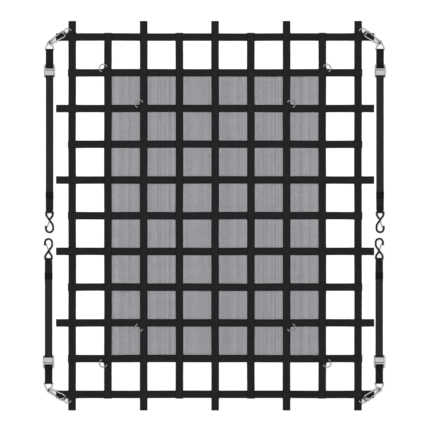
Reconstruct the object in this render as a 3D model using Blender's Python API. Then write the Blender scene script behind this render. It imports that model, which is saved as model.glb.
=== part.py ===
import math

import bmesh
import bpy
from mathutils import Euler, Matrix, Vector

# Sizes in metres. The net lies flat on Z = 0, with X across the bed and Y along it.
PITCH = 0.180  # from one crossing to the next, both ways
COLUMNS = 9
ROWS = 11
HALF_X = PITCH * (COLUMNS - 1) / 2  # to the middle of the border straps
HALF_Y = PITCH * (ROWS - 1) / 2
NET_X = 0.004  # the corner straps reach further out on the left, and the origin is the whole's middle
WEB_WIDE = 0.038
WEB = 0.0015
MESH = 0.001
GAP = 0.0003  # between two pieces that touch
LAYER = WEB + GAP  # one more layer of webbing in a stack
SUNK = 0.0001  # sewn layers that are one solid sink this far into each other
CLEAR = 0.002  # a strap stays level this far past the edge of the one it crosses
MESH_REACH = 0.015  # the mesh ends this far past the middle of the straps along its edge
LOOP = 0.0625  # an open end loop reaches this far past the border strap
TURN_BACK = 0.036  # the folded end is sewn down over this length inside the border strap
WRAP = 0.0027  # how far past the border strap's edge a strap with no end loop turns back
SLOPE = 0.012  # length over which a strap steps down by a layer or two

RING_BAR = 0.027  # from the crossing's middle to the D-ring's straight bar
RING_DEPTH = 0.026
RING_HALF = 0.02025
RING_CORNER = 0.003
RING_WIRE = 0.00225  # radius
TAB_WIDE = 0.032
TAB_END = 0.026  # the tab's sewn end, past the crossing's middle
TAB_HOLE = 0.00265  # radius left open for the bar
TAB_NECK = 0.011  # from the bar back to where the doubled tab is flat again
TAB_ROUND = RING_WIRE + GAP + WEB  # the tab's outer radius round the bar

CARABINER_WIDE = 0.0175  # radius of the wire's middle line round the wide end
CARABINER_NARROW = 0.0085
CARABINER_SPAN = 0.068  # between the middles of the two ends
CARABINER_WIRE = 0.0035
NOSE = 0.007  # of the straight side that stays with the hook's nose
PIVOT = 0.006  # from the narrow end's round to the gate's pivot
TONGUE = 0.0012  # half the thickness of the flat tongue that carries the gate
GATE_GAP = 0.0004

DELTA_WIRE = 0.002
DELTA_HALF = 0.0235
DELTA_BEND = 0.0025
DELTA_HIGH = 0.0515  # to the corner that the rounded tip is cut from
DELTA_TIP = 0.005
BAR_BACK = 0.0759  # from the buckle's end back to the delta ring's bar

BUCKLE_HALF = 0.0245
CHEEK = 0.002  # thickness of the cheeks and the base
ANCHOR = (0.009, 0.009)  # place along the strap and height of the bar that holds the short strap
ANCHOR_RADIUS = 0.003
AXLE = (0.050, 0.012)
AXLE_RADIUS = 0.003
BASE_FROM, BASE_TO = 0.0235, 0.0625
LEVER_HALF = 0.02175
CHEEK_OUTLINE = (  # along the strap, height
    (0.0235, 0.0), (0.0180, 0.0030), (0.0020, 0.0030), (0.0, 0.0055), (0.0, 0.0120), (0.0035, 0.0155),
    (0.0280, 0.0165), (0.0420, 0.0200), (0.0540, 0.0200), (0.0610, 0.0150), (0.0655, 0.0070),
    (0.0650, 0.0025), (0.0625, 0.0),
)
LEVER_OUTLINE = (  # along the strap, height: the cam's teeth, then the plate with its lip
    (0.0495, 0.0042), (0.0530, 0.0046), (0.0560, 0.0070), (0.0570, 0.0110), (0.0565, 0.0150),
    (0.0535, 0.0175), (0.0440, 0.0186), (0.0300, 0.0200), (0.0266, 0.0234), (0.0215, 0.0240),
    (0.0200, 0.0230), (0.0205, 0.0218), (0.0245, 0.0214), (0.0275, 0.0184), (0.0430, 0.0160),
    (0.0445, 0.0120), (0.0462, 0.0066),
)

HOOK_WIRE = 0.0047
HOOK_BAR_HIGH = 0.00655
HOOK_TILT = math.radians(0.96)  # down from the strap to the floor
HOOK_BENDS = (  # across, along, radius of the bend
    (0.0043, 0.0358, 0), (0.0163, 0.0175, 0.010), (0.0176, 0.0, 0.0050), (-0.0176, 0.0, 0.0050),
    (-0.0163, 0.0185, 0.014), (0.0180, 0.0665, 0.020), (0.0180, 0.1026, 0.0170),
    (-0.0168, 0.1026, 0.0165), (-0.0190, 0.0716, 0),
)
HOOK_WEB = 0.0254  # the strap's width gathered in the S-hook's eye
GATHER = ((-0.0220, WEB_WIDE), (-0.0046, 0.0340))  # how it narrows before the S-hook's bar
FOLD = 0.110  # the long strap is folded back over this length at the S-hook
FOLD_STEP = (0.003, 0.010)  # past the fold's end, where the strap starts and ends its step down
BASE_LEVEL = (0.0225, 0.0645)  # the long strap is level over the buckle's base between these places
BASE_RAMP = (0.0105, 0.0135)  # and comes down to the floor over these lengths
BACK_FLAT = 0.010  # from the delta ring's bar to where the short strap is flat on its way back
BACK_STEP = (-0.016, -0.010, -0.003)  # where it steps up onto the buckle's end and leaves it level
BACK_END = (-0.004, -0.009)  # its end, turned round the anchor bar and back under itself
BAND = (0.066, 0.101)  # the keeper band, counted back from the S-hook's bar
BAND_THICK = 0.0007

STRAPS_IN = {"corner": 0, "outer": 1, "inner": 2}  # each kind of D-ring, in straps from the border
RING_TILT = -4.5  # degrees from level; a D-ring with nothing on it droops onto the straps

# One row for each corner, laid out as at the upper right and mirrored into place: the side that it
# lies on, how far out from the border's middle lines the corner strap and the delta ring's bar lie,
# the S-hook's bar along the strap, the carabiner's place and its roll, pitch and yaw in degrees,
# and how many degrees the D-ring and the delta ring stand up.
CORNERS = {
    "upper_left": {
        "side": (-1, 1), "strap": 0.114, "delta_bar": -0.0635, "hook": 0.7413, "ring_up": 17.18,
        "carabiner": (0.04936, 0.00999, 0.01491), "turn": (-28.95, -1.46, -33.85), "delta_up": 20.06,
    },
    "upper_right": {
        "side": (1, 1), "strap": 0.111, "delta_bar": -0.0633, "hook": 0.7413, "ring_up": 14.65,
        "carabiner": (0.04732, 0.01096, 0.01502), "turn": (-28.70, -0.57, -34.97), "delta_up": 18.71,
    },
    "lower_left": {
        "side": (-1, -1), "strap": 0.119, "delta_bar": -0.0561, "hook": 0.548, "ring_up": 16.48,
        "carabiner": (0.05130, 0.01192, 0.01412), "turn": (-27.69, -1.75, -29.40), "delta_up": 20.08,
    },
    "lower_right": {
        "side": (1, -1), "strap": 0.107, "delta_bar": -0.0572, "hook": 0.548, "ring_up": 14.1,
        "carabiner": (0.04587, 0.01456, 0.01486), "turn": (-27.8, 1.28, -35.7), "delta_up": 15.89,
    },
}

ROUND_SIDES = 8
RING_SIDES = 6
BEND_STEP = math.radians(32)  # between the points round a bend


def clear_scene():
    for thing in list(bpy.data.objects):
        bpy.data.objects.remove(thing)


def material(name, colour, roughness, metallic=0.0):
    made = bpy.data.materials.new(name)
    made.use_nodes = True
    shader = made.node_tree.nodes["Principled BSDF"]
    shader.inputs["Base Color"].default_value = (*colour, 1.0)
    shader.inputs["Roughness"].default_value = roughness
    shader.inputs["Metallic"].default_value = metallic
    return made


def skin(rings, closed=False):
    """Points and faces of a solid that runs through the rings, round in a loop if closed."""
    count = len(rings[0])
    faces = []
    for i in range(len(rings) if closed else len(rings) - 1):
        a, b = i * count, (i + 1) % len(rings) * count
        faces += [(a + k, a + (k + 1) % count, b + (k + 1) % count, b + k) for k in range(count)]
    if not closed:
        last = (len(rings) - 1) * count
        faces += [tuple(range(count)), tuple(range(last, last + count))]
    return [point for ring in rings for point in ring], faces


def solid(name, parts, look, place, pivot=(0, 0, 0), smooth=False):
    """An object of one or more closed skins, carried into the net's frame, with its origin at pivot."""
    points, faces = [], []
    for part_points, part_faces in parts:
        faces += [[len(points) + i for i in face] for face in part_faces]
        points += [place @ Vector(point) - Vector(pivot) for point in part_points]
    mesh = bpy.data.meshes.new(name)
    mesh.from_pydata(points, [], faces)
    shell = bmesh.new()
    shell.from_mesh(mesh)
    bmesh.ops.recalc_face_normals(shell, faces=shell.faces)
    shell.to_mesh(mesh)
    shell.free()
    if smooth:
        mesh.shade_smooth()
        mesh.set_sharp_from_angle(angle=math.radians(50))
    if look:
        mesh.materials.append(look)
    thing = bpy.data.objects.new(name, mesh)
    thing.location = pivot
    bpy.context.collection.objects.link(thing)
    return thing


def combine(thing, operation, parts, place):
    """Joins the parts to an object, or cuts them out of it, with a hidden guide object."""
    guide = solid(f"{thing.name}_{operation.lower()}_guide", parts, None, place)
    guide.hide_render = True
    guide.display_type = "WIRE"
    modifier = thing.modifiers.new(operation.lower(), "BOOLEAN")
    modifier.operation = operation
    modifier.solver = "EXACT"
    modifier.object = guide


def across(path, closed=False):
    """The normal at each point of a flat path, longer at a bend so that a wall keeps its thickness."""
    normals = []
    for i, point in enumerate(path):
        before = path[i - 1] if i or closed else None
        after = path[(i + 1) % len(path)] if i + 1 < len(path) or closed else None
        runs = [Vector(b) - Vector(a) for a, b in ((before, point), (point, after)) if a and b]
        turned = [Vector((-run.y, run.x)).normalized() for run in runs]
        middle = sum(turned, Vector((0, 0))).normalized()
        normals.append(middle / middle.dot(turned[0]))
    return normals


def ribbon(path, widths=None):
    """Webbing along a path of (along, height) points down its middle. Its second axis is its width."""
    rings = []
    for (s, z), normal, wide in zip(path, across(path), widths or [WEB_WIDE] * len(path)):
        off = normal * WEB / 2
        sides = ((-1, -wide / 2), (1, -wide / 2), (1, wide / 2), (-1, wide / 2))
        rings.append([(s + k * off.x, w, z + k * off.y) for k, w in sides])
    return skin(rings)


def wire(path, radius, closed=False, sides=ROUND_SIDES):
    """A round wire along a flat path. A list of radii gives (in the path's plane, across it) by point."""
    radii = radius if isinstance(radius, list) else [(radius, radius)] * len(path)
    rings = []
    for (u, v), normal, (wide, high) in zip(path, across(path, closed), radii):
        turns = [2 * math.pi * (k + 0.5) / sides for k in range(sides)]
        flat = [(u + normal.x * wide * math.cos(a), v + normal.y * wide * math.cos(a)) for a in turns]
        rings.append([(*point, high * math.sin(a)) for point, a in zip(flat, turns)])
    return skin(rings, closed)


def slab(outline, start, end):
    """A plate of the (along, height) outline, from start to end across."""
    return skin([[(s, w, z) for s, z in outline] for w in (start, end)])


def rod(along, height, radius, half, sides=ROUND_SIDES):
    """A round bar across a strap, from -half to half."""
    turns = [2 * math.pi * (k + 0.5) / sides for k in range(sides)]
    return slab([(along + radius * math.cos(a), height + radius * math.sin(a)) for a in turns], -half, half)


def arc(centre, radius, start, end, steps):
    """Points round an arc, both ends included, from start to end in degrees."""
    turns = [math.radians(start + (end - start) * k / steps) for k in range(steps + 1)]
    return [(centre[0] + radius * math.cos(a), centre[1] + radius * math.sin(a)) for a in turns]


def round_bar(centre, bar, start, end, steps):
    """The middle line of webbing that lies round a bar, between the angles at which it leaves it."""
    step = math.radians(end - start) / steps
    reach = (bar + GAP + WEB / 2) / math.cos(step / 2)
    turns = [math.radians(start) + step * (k + 0.5) for k in range(steps)]
    return [(centre[0] + reach * math.cos(a), centre[1] + reach * math.sin(a)) for a in turns]


def bent(corners):
    """A path through (x, y, radius) corners, each one rounded by its radius."""
    path = []
    for i, (x, y, radius) in enumerate(corners):
        if not radius:
            path.append((x, y))
            continue
        corner = Vector((x, y))
        back = (Vector(corners[i - 1][:2]) - corner).normalized()
        on = (Vector(corners[(i + 1) % len(corners)][:2]) - corner).normalized()
        half = back.angle(on) / 2
        centre = corner + (back + on).normalized() * radius / math.sin(half)
        first = corner + back * radius / math.tan(half) - centre
        turn = math.copysign(math.pi - 2 * half, back.x * on.y - back.y * on.x) * -1
        steps = max(1, round(abs(turn) / BEND_STEP))
        for k in range(steps + 1):
            path.append(tuple(centre + Matrix.Rotation(turn * k / steps, 2) @ first))
    return path


def fold_over(tip, start, end):
    """The half circle in which a strap's middle line turns back at its tip, between two heights."""
    radius = abs(end - start) / 2
    rise = 1 if end > start else -1
    steps = 5 if radius >= LAYER else 3
    return arc((tip - radius - WEB / 2, (start + end) / 2), radius, -90 * rise, 90 * rise, steps)


def both_ways(half):
    """A strap's whole path from its path on one side of the middle."""
    return [(-s, z) for s, z in reversed(half)] + half


def strap_edges(border):
    """Where a strap that crosses a border strap is level: from inside its inner edge to past its outer."""
    return border - WEB_WIDE / 2 - CLEAR, border + WEB_WIDE / 2 + CLEAR


def lengthwise_path(looped, run, over):
    """Half of a lengthwise strap: over the crosswise border strap, round its end and back under it.

    run is its height over the last crosswise straps, and over its height on the border strap.
    """
    inner, outer = strap_edges(HALF_Y)
    half = [(run[0], run[1] + WEB / 2), (inner, over + WEB / 2)]
    top = over
    if looped:
        half += [(outer, over + WEB / 2), (outer + SLOPE, LAYER + WEB / 2)]
        top = LAYER
    tip = HALF_Y + WEB_WIDE / 2 + (LOOP if looped else WRAP)
    half += fold_over(tip, top + WEB / 2, WEB / 2)
    half.append((HALF_Y - WEB_WIDE / 2 - TURN_BACK, WEB / 2))
    return half


def crosswise_path(looped, run, under, over):
    """Half of a crosswise strap: under the lengthwise border strap, round its end and back over it."""
    inner, outer = strap_edges(HALF_X)
    half = [(s, z + WEB / 2) for s, z in run]
    if looped:
        half.append((outer, under + WEB / 2))
    if looped and under:
        half.append((outer + SLOPE, WEB / 2))
    low, top = (0, LAYER) if looped else (under, over)
    tip = HALF_X + WEB_WIDE / 2 + (LOOP if looped else WRAP)
    half += fold_over(tip, low + WEB / 2, top + WEB / 2)
    if looped:
        half += [(outer + SLOPE, LAYER + WEB / 2), (outer, over + WEB / 2)]
    half.append((inner, over + WEB / 2))
    half.append((inner - SLOPE, under + LAYER + WEB / 2))
    half.append((HALF_X - WEB_WIDE / 2 - TURN_BACK, under + LAYER + WEB / 2))
    return half


def along_y(x):
    """Carries (along, across, height) onto a lengthwise strap at x."""
    return Matrix(((0, 1, 0, x), (1, 0, 0, 0), (0, 0, 1, 0), (0, 0, 0, 1)))


def along_x(y):
    return Matrix(((1, 0, 0, NET_X), (0, 1, 0, y), (0, 0, 1, 0), (0, 0, 0, 1)))


def from_corner(side, straps_in=0):
    """Carries a layout round a crossing at the upper right into one of the four corners."""
    x = NET_X + side[0] * (HALF_X - PITCH * straps_in)
    y = side[1] * (HALF_Y - PITCH * straps_in)
    return Matrix(((side[0], 0, 0, x), (0, side[1], 0, y), (0, 0, 1, 0), (0, 0, 0, 1)))


ON_MESH = MESH + GAP  # the heights of the undersides in the stack, from the surface up
ON_ROWS = ON_MESH + LAYER
OVER_BORDER = 2 * LAYER
CORNER_OVER = LAYER + WEB - SUNK
CORNER_TOP = CORNER_OVER + LAYER


def diagonal(side, straps_in):
    """Carries (outward along the diagonal, along the D-ring's bar, height) to a crossing."""
    return from_corner(side, straps_in) @ Matrix.Rotation(math.radians(45), 4, "Z")


def ring_height(top):
    return top + TAB_ROUND


def tab(top):
    """The webbing tab on a crossing, doubled and sewn flat, and round the D-ring's bar at its end."""
    height = ring_height(top)
    flat = top + 2 * WEB
    outline = [(-TAB_END, flat), (-TAB_END, top - SUNK), (RING_BAR, top - SUNK)]
    outline += arc((RING_BAR, height), TAB_ROUND, -60, 120, 6)
    outline.append((RING_BAR - TAB_NECK, flat))
    return slab(outline, TAB_WIDE / 2, -TAB_WIDE / 2)


def sew_on_tabs(strap, tabs):
    """Joins tabs to the strap that they are sewn on, and opens them for the D-rings' bars."""
    for side, straps_in, top in tabs:
        place = diagonal(side, straps_in)
        combine(strap, "UNION", [tab(top)], place)
        hole = rod(RING_BAR, ring_height(top), TAB_HOLE, TAB_WIDE, sides=10)
        combine(strap, "DIFFERENCE", [hole], place)


def build_straps(webbing):
    row_edge = HALF_Y - PITCH + WEB_WIDE / 2 + CLEAR
    mesh_edge = HALF_X - PITCH + WEB_WIDE / 2 + CLEAR
    for number in range(1, COLUMNS - 1):
        x = NET_X + (number - (COLUMNS - 1) / 2) * PITCH
        path = both_ways(lengthwise_path(number % 2 == 0, (row_edge, ON_ROWS), OVER_BORDER))
        strap = solid(f"column_{number}", [ribbon(path)], webbing, along_y(x))
        straps_in = min(number, COLUMNS - 1 - number)
        if straps_in in (STRAPS_IN["outer"], STRAPS_IN["inner"]):
            side_x = -1 if number < COLUMNS / 2 else 1
            sew_on_tabs(strap, [((side_x, side_y), straps_in, ON_ROWS + WEB) for side_y in (1, -1)])
    for number in range(1, ROWS - 1):
        y = ((ROWS - 1) / 2 - number) * PITCH
        run = [(mesh_edge, ON_MESH), (mesh_edge + 3 * SLOPE, 0)]
        path = both_ways(crosswise_path(number % 2 == 0, run, 0, OVER_BORDER))
        solid(f"row_{number}", [ribbon(path)], webbing, along_x(y))


def build_border(webbing):
    """The four border straps, which are sewn to each other at the corners, as one solid."""
    inner = strap_edges(HALF_Y)[0]
    column = both_ways(lengthwise_path(True, (inner - SLOPE, LAYER), CORNER_OVER))
    row = both_ways(crosswise_path(True, [(HALF_X / 2, LAYER)], LAYER, CORNER_TOP))
    border = solid("border", [ribbon(row)], webbing, along_x(HALF_Y))
    combine(border, "UNION", [ribbon(column)], along_y(NET_X - HALF_X))
    combine(border, "UNION", [ribbon(column)], along_y(NET_X + HALF_X))
    combine(border, "UNION", [ribbon(row)], along_x(-HALF_Y))
    sew_on_tabs(border, [(corner["side"], 0, CORNER_TOP + WEB) for corner in CORNERS.values()])


def build_mesh(cloth):
    half_x, half_y = HALF_X - PITCH + MESH_REACH, HALF_Y - PITCH + MESH_REACH
    outline = [(-half_y, 0), (half_y, 0), (half_y, MESH), (-half_y, MESH)]
    solid("mesh", [slab(outline, -half_x, half_x)], cloth, along_y(NET_X))


def ring_path():
    """A D: the straight bar at 0, tight corners, then half an ellipse."""
    bow = RING_DEPTH - RING_CORNER
    path = []
    for end in (-1, 1):
        turns = [math.radians(a) for a in ((90, 45, 0) if end > 0 else (0, 45, 90))]
        for a in turns:
            v = RING_HALF - RING_CORNER * (1 - math.cos(a))
            path.append((RING_CORNER * (1 - math.sin(a)), end * v))
    for k in range(1, 9):
        a = math.pi / 2 - math.pi * k / 9
        path.append((RING_CORNER + bow * math.cos(a), RING_HALF * math.sin(a)))
    return path


def build_rings(steel):
    for kind, straps_in in STRAPS_IN.items():
        for name, corner in CORNERS.items():
            top = CORNER_TOP + WEB if kind == "corner" else ON_ROWS + WEB
            up = corner["ring_up"] if kind == "corner" else RING_TILT
            place = diagonal(corner["side"], straps_in) @ Matrix.Translation((RING_BAR, 0, ring_height(top)))
            place = place @ Matrix.Rotation(math.radians(-up), 4, "Y")
            ring = wire(ring_path(), RING_WIRE, closed=True, sides=RING_SIDES)
            solid(f"ring_{kind}_{name}", [ring], steel, place, smooth=True)


def carabiner_frame(corner):
    turn = Euler([math.radians(angle) for angle in corner["turn"]]).to_matrix().to_4x4()
    return from_corner(corner["side"]) @ Matrix.Translation(corner["carabiner"]) @ turn


def gate_line():
    """Where the gate's straight side leaves the wide end and meets the narrow one."""
    lean = math.asin((CARABINER_WIDE - CARABINER_NARROW) / CARABINER_SPAN)
    outward = Vector((math.sin(lean), math.cos(lean)))
    narrow = Vector((CARABINER_SPAN, 0)) + outward * CARABINER_NARROW
    return outward * CARABINER_WIDE, narrow, 90 - math.degrees(lean)


def build_carabiner(name, corner, steel):
    wide, narrow, angle = gate_line()
    back = (wide - narrow).normalized()
    pivot = narrow + back * PIVOT
    round_wire = (CARABINER_WIRE, CARABINER_WIRE)
    path = [tuple(wide - back * NOSE)]
    path += arc((0, 0), CARABINER_WIDE, angle, 360 - angle, 7)
    path += arc((CARABINER_SPAN, 0), CARABINER_NARROW, -angle, angle, 5)
    radii = [round_wire] * len(path)
    for past, half_wide, half_high in (
        (0.0017, CARABINER_WIRE, CARABINER_WIRE), (0.0020, CARABINER_WIRE, TONGUE),
        (PIVOT, 0.0034, TONGUE), (PIVOT + 0.0024, 0.0029, TONGUE), (PIVOT + 0.0034, 0.0015, TONGUE),
    ):
        path.append(tuple(narrow + back * past))
        radii.append((half_wide, half_high))
    place = carabiner_frame(corner)
    solid(f"carabiner_{name}", [wire(path, radii)], steel, place, smooth=True)

    length = (wide - narrow).length - NOSE - PIVOT - GATE_GAP
    path, radii = [], []
    for past, radius in ((-0.0034, 0.0015), (-0.0024, 0.0029), (0, 0.0034), (length, 0.0032)):
        path.append(tuple(pivot + back * past))
        radii.append((radius, radius))
    gate = solid(f"gate_{name}", [wire(path, radii)], steel, place, pivot=place @ pivot.to_3d(), smooth=True)
    slot_half = TONGUE + GAP
    slot = [tuple(pivot + back * past + Vector((-back.y, back.x)) * side) for past, side in
            ((-0.006, -0.006), (0.005, -0.006), (0.005, 0.006), (-0.006, 0.006))]
    cutter = skin([[(u, v, w) for u, v in slot] for w in (-slot_half, slot_half)])
    combine(gate, "DIFFERENCE", [cutter], place)


def build_delta(name, corner, steel):
    bar = (corner["strap"], corner["delta_bar"], DELTA_BAR_HIGH)
    place = from_corner(corner["side"]) @ Matrix.Translation(bar)
    place = place @ Matrix.Rotation(math.radians(corner["delta_up"]), 4, "X")
    path = bent([(-DELTA_HALF, 0, DELTA_BEND), (DELTA_HALF, 0, DELTA_BEND), (0, DELTA_HIGH, DELTA_TIP)])
    ring = wire(path, DELTA_WIRE, closed=True, sides=RING_SIDES)
    solid(f"delta_{name}", [ring], steel, place, smooth=True)


def strap_frame(corner):
    """Carries (along the corner strap from the buckle's end, across it, height) into place."""
    x, y = corner["strap"], corner["delta_bar"] - BAR_BACK
    return from_corner(corner["side"]) @ Matrix(((0, -1, 0, x), (-1, 0, 0, y), (0, 0, 1, 0), (0, 0, 0, 1)))


DELTA_BAR_HIGH = WEB + GAP + DELTA_WIRE


def corner_strap_path(hook):
    """From the end folded back at the S-hook, round its bar, through the buckle and under the short
    strap to the delta ring, round its bar, and back over itself to the buckle's anchor bar.
    """
    flat, second, third = (layer * LAYER + WEB / 2 for layer in range(3))
    on_base = CHEEK + GAP + WEB / 2
    path = [(hook - FOLD, flat)] + [(hook + s, flat) for s, wide in GATHER]
    path += round_bar((hook, HOOK_BAR_HIGH), HOOK_WIRE, -90, 113, 5)
    last, (start, wide) = path[-1], GATHER[0]
    neck = GATHER[1][0]
    level = last[1] + (second - last[1]) * (hook + neck - last[0]) / (hook + start - last[0])
    path += [(hook + neck, level), (hook + start, second), (hook - FOLD - FOLD_STEP[0], second)]
    path += [(hook - FOLD - FOLD_STEP[1], flat), (BASE_LEVEL[1] + BASE_RAMP[1], flat)]
    path += [(BASE_LEVEL[1], on_base), (BASE_LEVEL[0], on_base), (BASE_LEVEL[0] - BASE_RAMP[0], flat)]
    path += round_bar((-BAR_BACK, DELTA_BAR_HIGH), DELTA_WIRE, -90, -295, 5)
    path += [(-BAR_BACK + BACK_FLAT, second), (BACK_STEP[0], second)]
    path += [(BACK_STEP[1], third), (BACK_STEP[2], third)]
    path += round_bar(ANCHOR, ANCHOR_RADIUS, 126, -80, 5)
    path += [(along, second) for along in BACK_END]
    return path


def build_corner_strap(name, corner, webbing):
    place = strap_frame(corner)
    path = corner_strap_path(corner["hook"])
    widths = []
    for s, z in path:
        past = [wide for start, wide in GATHER if s < corner["hook"] + start + 0.0001]
        widths.append(past[0] if past else HOOK_WEB)
    strap = solid(f"webbing_{name}", [ribbon(path, widths)], webbing, place)
    low, high = GAP / 2, LAYER + WEB + BAND_THICK
    first, last = corner["hook"] - BAND[1], corner["hook"] - BAND[0]
    half = WEB_WIDE / 2 + BAND_THICK
    band = slab([(first, low), (last, low), (last, high), (first, high)], -half, half)
    combine(strap, "UNION", [band], place)


def build_buckle(name, corner, steel):
    place = strap_frame(corner)
    inner = BUCKLE_HALF - CHEEK
    cheeks = [slab(CHEEK_OUTLINE, inner, BUCKLE_HALF), slab(CHEEK_OUTLINE, -BUCKLE_HALF, -inner)]
    frame = solid(f"buckle_{name}", cheeks, steel, place)
    middle = BUCKLE_HALF - CHEEK / 2
    base = [(BASE_FROM, SUNK), (BASE_TO, SUNK), (BASE_TO, CHEEK), (BASE_FROM, CHEEK)]
    combine(frame, "UNION", [slab(base, -middle, middle), rod(*ANCHOR, ANCHOR_RADIUS, middle)], place)
    combine(frame, "DIFFERENCE", [rod(*AXLE, AXLE_RADIUS + GAP, 2 * BUCKLE_HALF)], place)

    pivot = place @ Vector((AXLE[0], 0, AXLE[1]))
    lever = solid(f"lever_{name}", [slab(LEVER_OUTLINE, -LEVER_HALF, LEVER_HALF)], steel, place, pivot=pivot)
    combine(lever, "UNION", [rod(*AXLE, AXLE_RADIUS, BUCKLE_HALF + 0.001)], place)


def build_hook(name, corner, vinyl):
    tilt = Matrix.Rotation(HOOK_TILT, 4, "X")
    lay = Matrix(((0, 1, 0, corner["hook"]), (1, 0, 0, 0), (0, 0, 1, HOOK_BAR_HIGH), (0, 0, 0, 1)))
    place = strap_frame(corner) @ lay @ tilt.inverted()
    solid(f"hook_{name}", [wire(bent(HOOK_BENDS), HOOK_WIRE)], vinyl, place, smooth=True)


def main():
    clear_scene()
    webbing = material("webbing", (0.018, 0.018, 0.019), 0.85)
    cloth = material("mesh_cloth", (0.06, 0.06, 0.065), 0.8)
    steel = material("zinc_steel", (0.72, 0.73, 0.74), 0.3, 1.0)
    vinyl = material("vinyl", (0.012, 0.012, 0.013), 0.45)
    build_mesh(cloth)
    build_straps(webbing)
    build_border(webbing)
    build_rings(steel)
    for name, corner in CORNERS.items():
        build_carabiner(name, corner, steel)
        build_delta(name, corner, steel)
        build_corner_strap(name, corner, webbing)
        build_buckle(name, corner, steel)
        build_hook(name, corner, vinyl)


main()
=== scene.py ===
import math

import bmesh
import bpy
import numpy as np
from mathutils import Euler, Matrix


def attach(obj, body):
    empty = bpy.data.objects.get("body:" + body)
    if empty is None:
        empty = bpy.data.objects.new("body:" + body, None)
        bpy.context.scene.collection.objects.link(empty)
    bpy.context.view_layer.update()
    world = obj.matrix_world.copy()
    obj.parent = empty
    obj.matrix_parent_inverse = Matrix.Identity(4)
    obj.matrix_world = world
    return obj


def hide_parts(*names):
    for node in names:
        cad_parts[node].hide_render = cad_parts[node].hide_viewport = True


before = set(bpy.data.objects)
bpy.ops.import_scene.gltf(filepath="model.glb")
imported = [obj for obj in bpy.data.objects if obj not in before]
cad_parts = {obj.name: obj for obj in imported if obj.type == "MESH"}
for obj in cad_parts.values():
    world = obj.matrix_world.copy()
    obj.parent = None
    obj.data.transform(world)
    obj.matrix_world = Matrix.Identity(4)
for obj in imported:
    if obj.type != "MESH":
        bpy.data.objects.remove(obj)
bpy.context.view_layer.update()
print("the packed model is in")


# Pieces from numpy arrays. Sizes are in metres.

sharpBend, bevelledBend = 50, 40  # degrees: an edge that bends by more is sharp, or gets the bevel


# The faces of a grid of points, one line of it after another. Either way it can close on itself.
def gridFaces(lines, perLine, closeLines=False, closeAcross=False):
    i = np.arange(lines if closeLines else lines - 1)[:, None]
    j = np.arange(perLine if closeAcross else perLine - 1)[None, :]
    nextI, nextJ = (i + 1) % lines, (j + 1) % perLine
    corners = [i * perLine + j, i * perLine + nextJ, nextI * perLine + nextJ, nextI * perLine + j]
    return np.stack(corners, -1).reshape(-1, 4).tolist()


# Several shapes as one, with each shape's faces counted on from the last.
def joined(shapes):
    points, faces, uv, count = [], [], [], 0
    for shape in shapes:
        points.append(shape["points"])
        faces += [[count + k for k in face] for face in shape["faces"]]
        uv.append(shape.get("uv", np.zeros((len(shape["points"]), 2))))
        count += len(shape["points"])
    return {"points": np.concatenate(points), "faces": faces, "uv": np.concatenate(uv)}


# A shape carried by a matrix into the net's frame.
def placed(shape, matrix):
    m = np.array(matrix)
    return {**shape, "points": shape["points"] @ m[:3, :3].T + m[:3, 3]}


def inScene(name, data):
    made = bpy.data.objects.new(name, data)
    bpy.context.collection.objects.link(made)
    return made


# A shape as an object that rides on a body and stands for the imported nodes named. Its "upward" attribute
# says how far the surface faces up at each point; the metals paint shade on their sides from it.
def addPiece(name, shape, look, body="net", nodes=(), bevel=0):
    mesh = bpy.data.meshes.new(name)
    mesh.from_pydata(shape["points"].tolist(), [], shape["faces"])
    if "uv" in shape:
        corner = np.empty(len(mesh.loops), int)
        mesh.loops.foreach_get("vertex_index", corner)
        mesh.uv_layers.new(name="UVMap").data.foreach_set("uv", shape["uv"][corner].ravel())
    skin = bmesh.new()
    skin.from_mesh(mesh)
    bmesh.ops.recalc_face_normals(skin, faces=skin.faces)
    skin.to_mesh(mesh)
    skin.free()
    mesh.shade_smooth()
    mesh.set_sharp_from_angle(angle=math.radians(sharpBend))
    normals = np.empty(len(mesh.vertices) * 3)
    mesh.vertex_normals.foreach_get("vector", normals)
    mesh.attributes.new("upward", "FLOAT", "POINT").data.foreach_set("value", normals[2::3])
    mesh.materials.append(look)
    piece = inScene(name, mesh)
    if bevel:
        edge = piece.modifiers.new("edge", "BEVEL")
        edge.width, edge.segments, edge.limit_method = bevel, 2, "ANGLE"
        edge.angle_limit = math.radians(bevelledBend)
        edge.harden_normals = True
    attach(piece, body)
    for node in nodes:
        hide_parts(node)
    return piece


# A section carried along a line. Each ring of points is the line's point, plus the section's first
# number along the side direction, plus its second along the line's direction crossed with the side.
def swept(line, side, section, closed=False, uvAcross=None):
    line, side = np.asarray(line, float), np.asarray(side, float)
    ahead = np.roll(line, -1, 0) - np.roll(line, 1, 0) if closed else np.gradient(line, axis=0)
    ahead /= np.linalg.norm(ahead, axis=1)[:, None]
    up = np.cross(ahead, side)
    section = np.broadcast_to(section, (len(line),) + np.shape(section)[-2:])
    points = line[:, None, :] + section[:, :, :1] * side + section[:, :, 1:] * up[:, None, :]
    count = section.shape[1]
    faces = gridFaces(len(line), count, closed, True)
    if not closed:
        faces += [list(range(count)), list(range((len(line) - 1) * count, len(line) * count))]
    shape = {"points": points.reshape(-1, 3), "faces": faces}
    if uvAcross is not None:
        run = np.concatenate([[0], np.cumsum(np.linalg.norm(np.diff(line, axis=0), axis=1))])
        across = np.broadcast_to(uvAcross, section.shape[:2])
        shape["uv"] = np.stack([across, np.repeat(run[:, None], count, 1)], -1).reshape(-1, 2)
    return shape


def circle(radius, count):  # a round section, or one for each radius in a list
    turn = np.arange(count) * 2 * math.pi / count
    ring = np.stack([np.cos(turn), np.sin(turn)], -1)
    return np.asarray(radius, float)[..., None, None] * ring


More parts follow.
